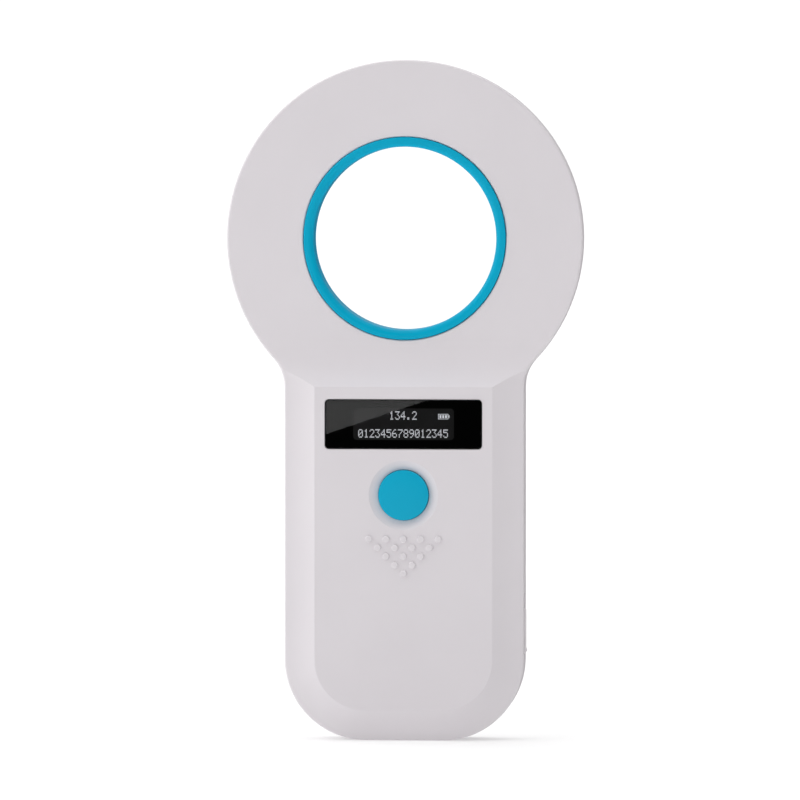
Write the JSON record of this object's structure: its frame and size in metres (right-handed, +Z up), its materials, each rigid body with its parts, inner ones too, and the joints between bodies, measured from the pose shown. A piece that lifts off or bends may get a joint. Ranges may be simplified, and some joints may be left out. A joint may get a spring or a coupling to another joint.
{
  "type": "microchip scanner",
  "caption": "Hand-held pet microchip reader: a flat ring-shaped antenna head on a handle with a small display, a push button and a covered charging port.",
  "frame": {"origin": "centre of the flat base, midway through the depth", "axes": "+Z up from the handle's foot to the antenna head, -Y out of the display and button, +X to the user's right"},
  "size_m": [0.088, 0.015, 0.168],
  "materials": {
    "white_shell": "satin moulded plastic",
    "teal_trim": "gloss moulded plastic",
    "teal_button": "satin moulded plastic",
    "black_plastic": "moulded",
    "copper_wire": "enamelled",
    "amber_tape": "film",
    "foam": "closed-cell foam",
    "circuit_board": "solder mask",
    "screw_steel": "zinc plated",
    "socket_steel": "drawn",
    "ferrite": "sintered",
    "ceramic_tan": "fired",
    "ceramic_black": "coated",
    "lens_clear": "polished hard-coated acrylic",
    "black_film": "printed film",
    "display_black": "polished glass",
    "connector_ivory": "moulded",
    "grey_silicone": "matt silicone",
    "cell_foil": "laminated foil",
    "red_insulation": "pvc",
    "black_insulation": "pvc",
    "blank_label": "matt film"
  },
  "bodies": {
    "housing": {"front_shell": "white_shell", "rear_shell": "white_shell", "antenna_ring": "teal_trim", "antenna_former": "black_plastic", "antenna_winding": "copper_wire", "winding_tape": "amber_tape", "antenna_foam": "foam", "main_board": "circuit_board", "board_screws": "screw_steel", "case_screws": "screw_steel", "processor_chip": "black_plastic", "reader_chip": "black_plastic", "charger_chip": "black_plastic", "clock_crystal": "socket_steel", "charger_inductor": "ferrite", "tuning_capacitors": "ceramic_tan", "board_resistors": "ceramic_black", "sounder": "black_plastic", "display_lens": "lens_clear", "lens_mask": "black_film", "display_glass": "display_black", "display_carrier": "black_plastic", "display_ribbon": "amber_tape", "ribbon_socket": "connector_ivory", "switch_housing": "black_plastic", "switch_cover": "socket_steel", "switch_dome": "socket_steel", "charging_socket": "socket_steel", "socket_tongue": "black_plastic", "cover_anchor": "grey_silicone", "battery_cell": "cell_foil", "battery_pad": "foam", "battery_plug": "connector_ivory", "battery_socket": "connector_ivory", "battery_lead_positive": "red_insulation", "battery_lead_negative": "black_insulation", "antenna_plug": "connector_ivory", "antenna_socket": "connector_ivory", "antenna_leads": "red_insulation", "rear_label": "blank_label"},
    "button": {"scan_button": "teal_button"},
    "plunger": {"switch_plunger": "black_plastic"},
    "cover": {"port_cover": "grey_silicone"}
  },
  "joints": [
    {"name": "button_press", "type": "slide", "parent": "housing", "child": "button", "axis": [0, 1, 0], "range_m": [0, 0.00045], "stiffness_N_per_m": 1500, "springref_m": -0.0003},
    {"name": "plunger_press", "type": "slide", "parent": "housing", "child": "plunger", "axis": [0, 1, 0], "range_m": [0, 0.00025]},
    {"name": "cover_swing", "type": "hinge", "parent": "housing", "child": "cover", "pos_m": [0.02905, -0.00065, 0.0336], "axis": [0, -1, 0], "range_deg": [0, 100]}
  ],
  "couplings": [
    {"joint": "plunger_press", "follows": "button_press", "ratio": 0.555}
  ]
}
